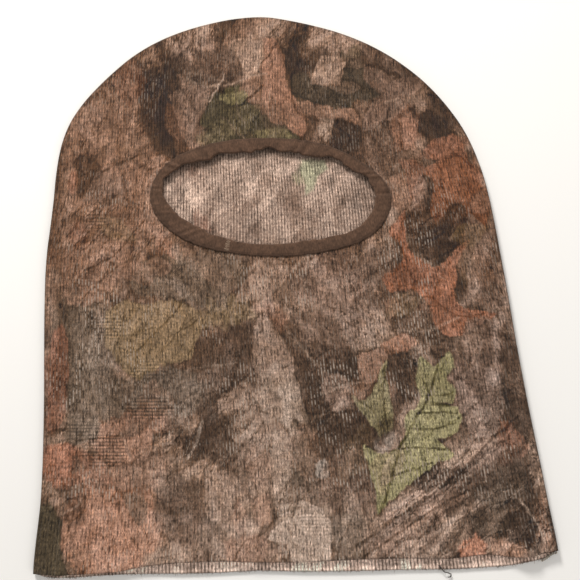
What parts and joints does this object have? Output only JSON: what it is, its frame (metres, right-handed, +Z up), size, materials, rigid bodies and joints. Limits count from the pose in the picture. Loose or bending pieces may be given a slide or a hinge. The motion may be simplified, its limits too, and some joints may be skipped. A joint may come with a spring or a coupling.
{
  "type": "face mask",
  "caption": "Pull-on rib-knit camouflage face mask lying flat: two printed panels seamed round the sides and crown, with a tape-bound oval face opening and a raw neck edge.",
  "frame": {"origin": "centre of the flat mask's footprint, on the plane the back panel rests on", "axes": "+X across the mask, towards the right of someone looking down at the front with the crown away from them; +Y from the neck mouth to the crown; +Z up, out of the front panel"},
  "size_m": [0.2814, 0.3141, 0.0052],
  "materials": {
    "camo_rib_knit": "matte printed rib knit, pale unprinted inside",
    "brown_binding_knit": "matte knit tape",
    "elastic": "matte",
    "dark_thread": "matte",
    "pale_thread": "satin",
    "dark_yarn": "matte"
  },
  "bodies": {
    "root": {"front_panel": "camo_rib_knit", "back_panel": "camo_rib_knit", "seam_needle_thread": "dark_thread", "seam_upper_looper_thread": "pale_thread", "seam_lower_looper_thread": "pale_thread", "seam_chain_tail_left": "pale_thread", "seam_chain_tail_right": "pale_thread", "opening_binding": "brown_binding_knit", "opening_elastic": "elastic", "binding_needle_thread": "dark_thread", "binding_looper_thread": "dark_thread", "binding_join_bartack": "pale_thread", "loose_yarn_end": "dark_yarn"}
  },
  "joints": []
}
